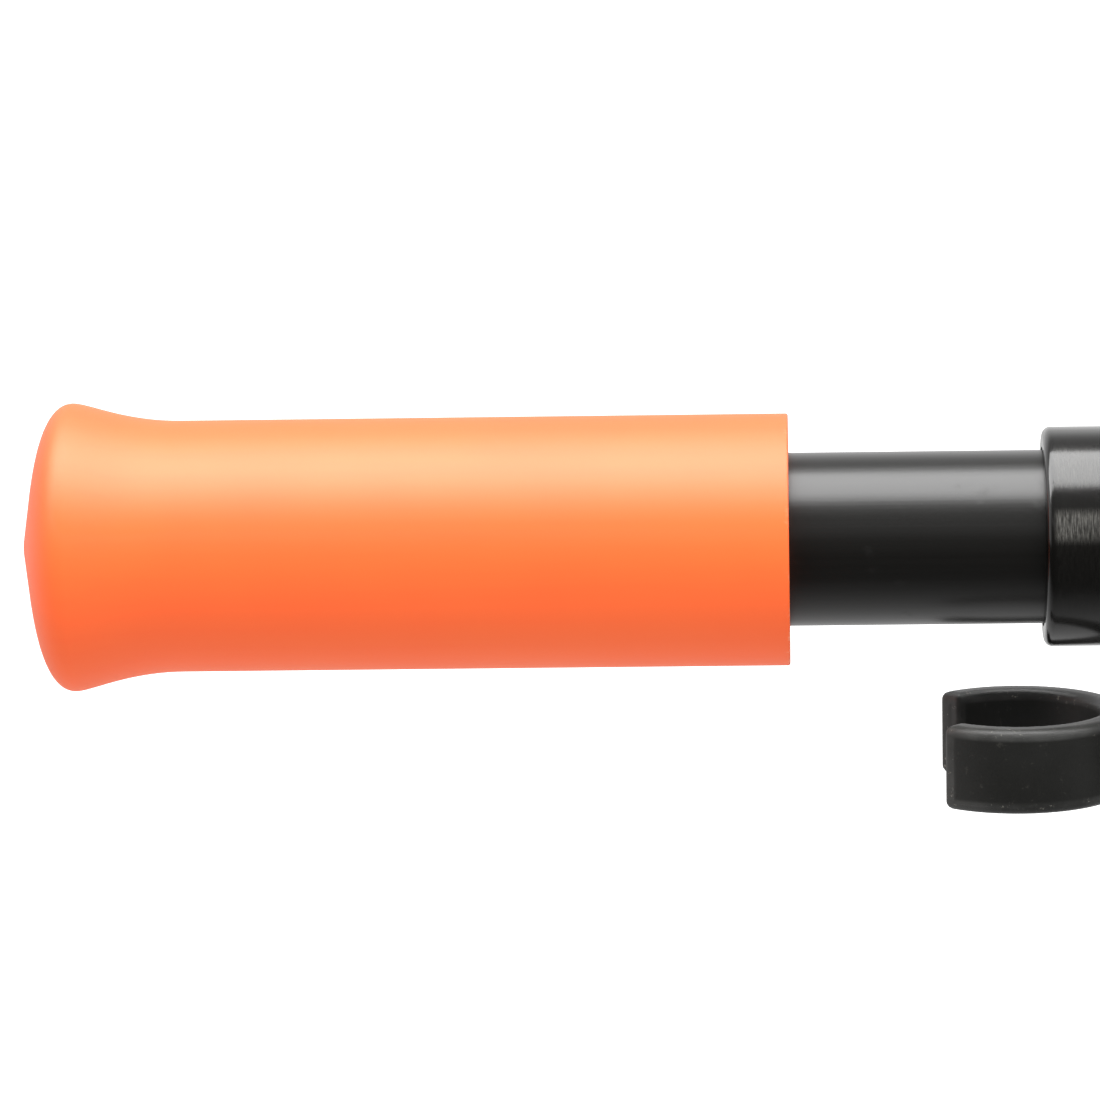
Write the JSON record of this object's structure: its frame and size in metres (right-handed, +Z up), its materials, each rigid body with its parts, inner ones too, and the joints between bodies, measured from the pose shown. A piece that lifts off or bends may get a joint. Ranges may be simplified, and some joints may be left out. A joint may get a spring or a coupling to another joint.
{
  "type": "folding T-bar handlebar",
  "caption": "T-shaped handlebar whose soft-gripped handles plug into a cross sleeve and can be pulled out and stored in clips on the stem.",
  "frame": {"origin": "on the stem's axis at its insertion mark, where the stem enters the steering tube", "axes": "+X along the bar to its right end, +Y away from the side with the lock buttons, +Z up the stem"},
  "size_m": [0.3616, 0.0501, 0.3285],
  "materials": {
    "sleeve_black": "gloss black paint with fine scratches",
    "tube_black": "satin black anodised, drawn lengthwise",
    "grip_orange": "matte soft-touch orange",
    "clip_plastic": "moulded black with a fine grain",
    "black_plastic": "matte",
    "cord_sheath": "braided",
    "zinc_steel": "zinc plated",
    "spring_steel": "bright rolled strip"
  },
  "bodies": {
    "bar": {"cross_sleeve": "sleeve_black", "stem_tube": "sleeve_black", "weld_bead": "sleeve_black", "stem_plug": "black_plastic", "elastic_cord": "cord_sheath", "clip_bracket": "clip_plastic", "clip_screw": "zinc_steel", "clip_washer": "zinc_steel", "clip_nut": "zinc_steel", "left_liner": "black_plastic", "right_liner": "black_plastic"},
    "left_handle": {"left_handle_tube": "tube_black", "left_grip": "grip_orange", "left_button_spring": "spring_steel", "left_spring_rivet": "zinc_steel", "left_cord_plug": "black_plastic", "left_cord_washer": "zinc_steel", "left_cord_knot": "cord_sheath"},
    "left_button": {"left_lock_button": "zinc_steel"},
    "right_handle": {"right_handle_tube": "tube_black", "right_grip": "grip_orange", "right_button_spring": "spring_steel", "right_spring_rivet": "zinc_steel", "right_cord_plug": "black_plastic", "right_cord_washer": "zinc_steel", "right_cord_knot": "cord_sheath"},
    "right_button": {"right_lock_button": "zinc_steel"}
  },
  "joints": [
    {"name": "left_handle_pull", "type": "slide", "parent": "bar", "child": "left_handle", "axis": [-1, 0, 0], "range_m": [0, 0.06], "stiffness_N_per_m": 60, "springref_m": -0.1, "deforming": ["elastic_cord", "left_lock_button"]},
    {"name": "left_button_press", "type": "slide", "parent": "left_handle", "child": "left_button", "axis": [0, 1, 0], "range_m": [0, 0.0042], "stiffness_N_per_m": 600, "springref_m": -0.005, "deforming": ["left_button_spring"]},
    {"name": "right_handle_pull", "type": "slide", "parent": "bar", "child": "right_handle", "axis": [1, 0, 0], "range_m": [0, 0.06], "stiffness_N_per_m": 60, "springref_m": -0.1, "deforming": ["elastic_cord", "right_lock_button"]},
    {"name": "right_button_press", "type": "slide", "parent": "right_handle", "child": "right_button", "axis": [0, 1, 0], "range_m": [0, 0.0042], "stiffness_N_per_m": 600, "springref_m": -0.005, "deforming": ["right_button_spring"]}
  ]
}
